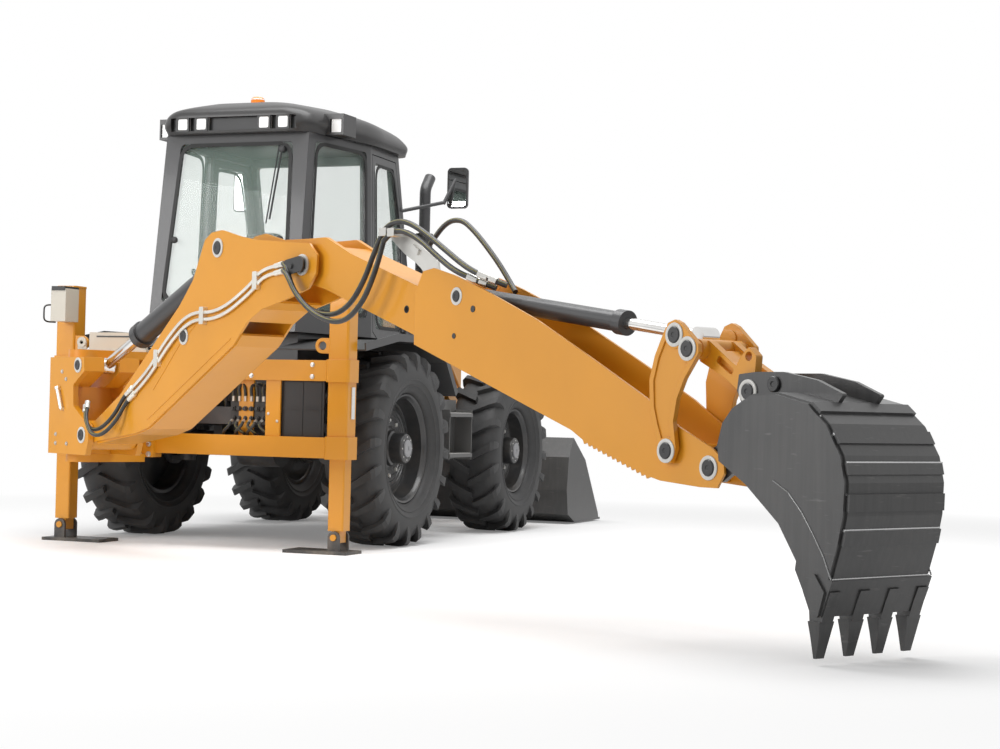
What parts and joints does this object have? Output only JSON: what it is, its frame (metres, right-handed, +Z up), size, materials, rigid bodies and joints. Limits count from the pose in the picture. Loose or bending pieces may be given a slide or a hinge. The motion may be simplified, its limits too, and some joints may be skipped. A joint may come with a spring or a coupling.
{
  "type": "backhoe loader",
  "caption": "Wheeled digger loader with a lifting front bucket, glazed cab, all-wheel steering, stabiliser legs and a side-shift digging arm that swings, folds and telescopes.",
  "frame": {"origin": "on the ground under the middle of the bounding box", "axes": "+X forward (towards the loader bucket), +Y to the machine's left, +Z up"},
  "size_m": [9.5684, 6.8152, 3.229],
  "materials": {
    "black": "satin",
    "cast": "cast",
    "cushion": "woven",
    "dark_grey": "satin",
    "glass": "clear",
    "lamp": "glossy",
    "mid_grey": "satin",
    "orange": "satin",
    "plastic": "matt",
    "roof": "satin",
    "rubber": "matt",
    "steel": "polished",
    "tyre": "matt"
  },
  "bodies": {
    "chassis": {"main_frame": "dark_grey", "slide_frame": "dark_grey", "axle_housings": "cast", "engine_block": "cast", "front_grille": "plastic", "cab_shell": "dark_grey", "cab_roof": "roof", "cab_glass": "glass", "seat_frame": "dark_grey", "seat_cushions": "cushion", "controls": "plastic", "mudguards": "plastic", "side_boxes": "dark_grey", "exhaust_stack": "black", "mirrors": "plastic", "lamps": "lamp"},
    "boom": {"boom": "orange", "boom_pipes": "mid_grey"},
    "dipper": {"dipper": "orange", "dipper_hoses": "rubber"},
    "dipper_extension": {"dipper_extension": "orange", "extension_hoses": "rubber"},
    "bonnet": {"bonnet": "orange"},
    "door_left": {"door_left": "dark_grey", "door_glass_left": "glass"},
    "door_right": {"door_right": "dark_grey", "door_glass_right": "glass"},
    "rear_left_knuckle": {"rear_left_knuckle": "mid_grey"},
    "rear_left_wheel": {"rear_left_rim": "mid_grey", "rear_left_tyre": "tyre"},
    "rear_right_knuckle": {"rear_right_knuckle": "mid_grey"},
    "rear_right_wheel": {"rear_right_rim": "mid_grey", "rear_right_tyre": "tyre"},
    "front_left_knuckle": {"front_left_knuckle": "mid_grey"},
    "front_left_wheel": {"front_left_rim": "mid_grey", "front_left_tyre": "tyre"},
    "front_right_knuckle": {"front_right_knuckle": "mid_grey"},
    "front_right_wheel": {"front_right_rim": "mid_grey", "front_right_tyre": "tyre"},
    "loader_arms": {"loader_arms": "dark_grey"},
    "loader_bucket": {"loader_bucket": "mid_grey"},
    "lift_barrels": {"lift_barrels": "black"},
    "lift_rods": {"lift_rods": "steel"},
    "tilt_barrels": {"tilt_barrels": "black"},
    "tilt_rods": {"tilt_rods": "steel"},
    "stabiliser_leg_left": {"stabiliser_leg_left": "mid_grey"},
    "stabiliser_pad_left": {"stabiliser_pad_left": "dark_grey"},
    "stabiliser_leg_right": {"stabiliser_leg_right": "mid_grey"},
    "stabiliser_pad_right": {"stabiliser_pad_right": "dark_grey"},
    "carriage": {"carriage": "orange"},
    "swing_tower": {"swing_tower": "orange"},
    "rocker_levers": {"rocker_levers": "orange"},
    "bucket_link": {"bucket_link": "orange"},
    "hoe_bucket": {"hoe_bucket": "mid_grey"},
    "boom_cylinder_barrel": {"boom_cylinder_barrel": "black"},
    "boom_cylinder_rod": {"boom_cylinder_rod": "steel"},
    "crowd_cylinder_barrel": {"crowd_cylinder_barrel": "black"},
    "crowd_cylinder_rod": {"crowd_cylinder_rod": "steel"},
    "bucket_cylinder_barrel": {"bucket_cylinder_barrel": "black"},
    "bucket_cylinder_rod": {"bucket_cylinder_rod": "steel"}
  },
  "joints": [
    {"name": "bonnet_hinge", "type": "hinge", "parent": "chassis", "child": "bonnet", "pos_m": [1.66523, 2.20161, 1.856], "axis": [0, -1, 0], "range_deg": [0, 50]},
    {"name": "door_left_hinge", "type": "hinge", "parent": "chassis", "child": "door_left", "pos_m": [1.39423, 2.89161, 1.9], "axis": [0, 0, -1], "range_deg": [0, 75]},
    {"name": "door_right_hinge", "type": "hinge", "parent": "chassis", "child": "door_right", "pos_m": [1.39423, 1.51161, 1.9], "axis": [0, 0, 1], "range_deg": [0, 75]},
    {"name": "rear_left_steer", "type": "hinge", "parent": "chassis", "child": "rear_left_knuckle", "pos_m": [0.42923, 2.84161, 0.7], "axis": [0, 0, 1], "range_deg": [-20, 20]},
    {"name": "rear_left_spin", "type": "hinge", "parent": "rear_left_knuckle", "child": "rear_left_wheel", "pos_m": [0.42923, 3.18761, 0.7], "axis": [0, 1, 0], "continuous": true},
    {"name": "rear_right_steer", "type": "hinge", "parent": "chassis", "child": "rear_right_knuckle", "pos_m": [0.42923, 1.56161, 0.7], "axis": [0, 0, 1], "range_deg": [-20, 20]},
    {"name": "rear_right_spin", "type": "hinge", "parent": "rear_right_knuckle", "child": "rear_right_wheel", "pos_m": [0.42923, 1.21561, 0.7], "axis": [0, 1, 0], "continuous": true},
    {"name": "front_left_steer", "type": "hinge", "parent": "chassis", "child": "front_left_knuckle", "pos_m": [2.65423, 2.84161, 0.66], "axis": [0, 0, 1], "range_deg": [-20, 20]},
    {"name": "front_left_spin", "type": "hinge", "parent": "front_left_knuckle", "child": "front_left_wheel", "pos_m": [2.65423, 3.18761, 0.66], "axis": [0, 1, 0], "continuous": true},
    {"name": "front_right_steer", "type": "hinge", "parent": "chassis", "child": "front_right_knuckle", "pos_m": [2.65423, 1.56161, 0.66], "axis": [0, 0, 1], "range_deg": [-20, 20]},
    {"name": "front_right_spin", "type": "hinge", "parent": "front_right_knuckle", "child": "front_right_wheel", "pos_m": [2.65423, 1.21561, 0.66], "axis": [0, 1, 0], "continuous": true},
    {"name": "loader_lift", "type": "hinge", "parent": "chassis", "child": "loader_arms", "pos_m": [1.82923, 2.20161, 1.42], "axis": [0, -1, 0], "range_deg": [0, 52]},
    {"name": "lift_swing", "type": "hinge", "parent": "chassis", "child": "lift_barrels", "pos_m": [1.87923, 2.20161, 0.85], "axis": [0, -1, 0], "range_deg": [-0.5, 38.98]},
    {"name": "lift_slide", "type": "slide", "parent": "lift_barrels", "child": "lift_rods", "axis": [0.9528, 0, 0.3037], "range_m": [-0.002, 0.44762]},
    {"name": "loader_tilt", "type": "hinge", "parent": "loader_arms", "child": "loader_bucket", "pos_m": [3.73923, 2.20161, 0.26], "axis": [0, 1, 0], "range_deg": [-25, 50]},
    {"name": "tilt_swing", "type": "hinge", "parent": "loader_arms", "child": "tilt_barrels", "pos_m": [2.72923, 2.20161, 1.51], "axis": [0, -1, 0], "range_deg": [-1.8, 3.1]},
    {"name": "tilt_slide", "type": "slide", "parent": "tilt_barrels", "child": "tilt_rods", "axis": [0.7662, 0, -0.6426], "range_m": [-0.13726, 0.27253]},
    {"name": "leg_left_slide", "type": "slide", "parent": "chassis", "child": "stabiliser_leg_left", "axis": [0, 0, 1], "range_m": [-0.15, 0.45]},
    {"name": "pad_left_rock", "type": "hinge", "parent": "stabiliser_leg_left", "child": "stabiliser_pad_left", "pos_m": [-0.50627, 3.27061, 0.112], "axis": [1, 0, 0], "range_deg": [-14, 14]},
    {"name": "leg_right_slide", "type": "slide", "parent": "chassis", "child": "stabiliser_leg_right", "axis": [0, 0, 1], "range_m": [-0.15, 0.45]},
    {"name": "pad_right_rock", "type": "hinge", "parent": "stabiliser_leg_right", "child": "stabiliser_pad_right", "pos_m": [-0.50627, 1.13261, 0.112], "axis": [1, 0, 0], "range_deg": [-14, 14]},
    {"name": "side_shift", "type": "slide", "parent": "chassis", "child": "carriage", "axis": [0, 1, 0], "range_m": [-1.266, 0]},
    {"name": "swing", "type": "hinge", "parent": "carriage", "child": "swing_tower", "pos_m": [-1.00577, 2.83461, 0.9], "axis": [0, 0, 1], "range_deg": [-150, 30]},
    {"name": "boom_raise", "type": "hinge", "parent": "swing_tower", "child": "boom", "pos_m": [-1.19877, 2.50032, 0.763], "axis": [-0.866, 0.5, 0], "range_deg": [-40, 42]},
    {"name": "boom_cylinder_swing", "type": "hinge", "parent": "boom", "child": "boom_cylinder_barrel", "pos_m": [-1.99577, 1.11988, 1.92], "axis": [-0.866, 0.5, 0], "range_deg": [-2.9, 3.02]},
    {"name": "boom_cylinder_slide", "type": "slide", "parent": "boom_cylinder_barrel", "child": "boom_cylinder_rod", "axis": [0.4612, 0.7988, -0.3863], "range_m": [-0.29815, 0.28405]},
    {"name": "dipper_crowd", "type": "hinge", "parent": "boom", "child": "dipper", "pos_m": [-2.45577, 0.32314, 1.78], "axis": [-0.866, 0.5, 0], "range_deg": [-105, 10]},
    {"name": "crowd_cylinder_swing", "type": "hinge", "parent": "boom", "child": "crowd_cylinder_barrel", "pos_m": [-1.80877, 1.44377, 1.396], "axis": [-0.866, 0.5, 0], "range_deg": [-0.72, 2.81]},
    {"name": "crowd_cylinder_slide", "type": "slide", "parent": "crowd_cylinder_barrel", "child": "crowd_cylinder_rod", "axis": [-0.4471, -0.7744, 0.4476], "range_m": [-0.05715, 0.5811]},
    {"name": "dipper_extend", "type": "slide", "parent": "dipper", "child": "dipper_extension", "axis": [-0.4763, -0.825, -0.304], "range_m": [-0.78, 0.1]},
    {"name": "bucket_curl", "type": "hinge", "parent": "dipper_extension", "child": "hoe_bucket", "pos_m": [-4.06427, -2.46287, 0.762], "axis": [-0.866, 0.5, 0], "range_deg": [-105, 40]},
    {"name": "lever_swing", "type": "hinge", "parent": "dipper_extension", "child": "rocker_levers", "pos_m": [-3.94827, -2.26195, 0.829], "axis": [-0.866, 0.5, 0], "range_deg": [-80.19, 30.86]},
    {"name": "link_swing", "type": "hinge", "parent": "hoe_bucket", "child": "bucket_link", "pos_m": [-4.16577, -2.63867, 1.096], "axis": [-0.866, 0.5, 0], "range_deg": [-22.26, 57.62]},
    {"name": "bucket_cylinder_swing", "type": "hinge", "parent": "dipper_extension", "child": "bucket_cylinder_barrel", "pos_m": [-3.15827, -0.89363, 1.562], "axis": [-0.866, 0.5, 0], "range_deg": [-3.23, 1.54]},
    {"name": "bucket_cylinder_slide", "type": "slide", "parent": "bucket_cylinder_barrel", "child": "bucket_cylinder_rod", "axis": [-0.4954, -0.8581, -0.1347], "range_m": [-0.23273, 0.60767]}
  ],
  "couplings": [
    {"joint": "rear_right_steer", "follows": "rear_left_steer", "ratio": 1},
    {"joint": "front_right_steer", "follows": "front_left_steer", "ratio": 1},
    {"joint": "lift_swing", "follows": "loader_lift", "ratio": 0.74},
    {"joint": "lift_slide", "follows": "loader_lift", "m_per_rad": 0.491},
    {"joint": "tilt_swing", "follows": "loader_tilt", "ratio": 0.052},
    {"joint": "tilt_slide", "follows": "loader_tilt", "m_per_rad": 0.31},
    {"joint": "boom_cylinder_swing", "follows": "boom_raise", "ratio": 0.06},
    {"joint": "boom_cylinder_slide", "follows": "boom_raise", "m_per_rad": -0.404},
    {"joint": "crowd_cylinder_swing", "follows": "dipper_crowd", "ratio": -0.022},
    {"joint": "crowd_cylinder_slide", "follows": "dipper_crowd", "m_per_rad": -0.316},
    {"joint": "lever_swing", "follows": "bucket_curl", "ratio": 0.759},
    {"joint": "link_swing", "follows": "bucket_curl", "ratio": -0.544},
    {"joint": "bucket_cylinder_swing", "follows": "bucket_curl", "ratio": 0.026},
    {"joint": "bucket_cylinder_slide", "follows": "bucket_curl", "m_per_rad": -0.3305}
  ]
}
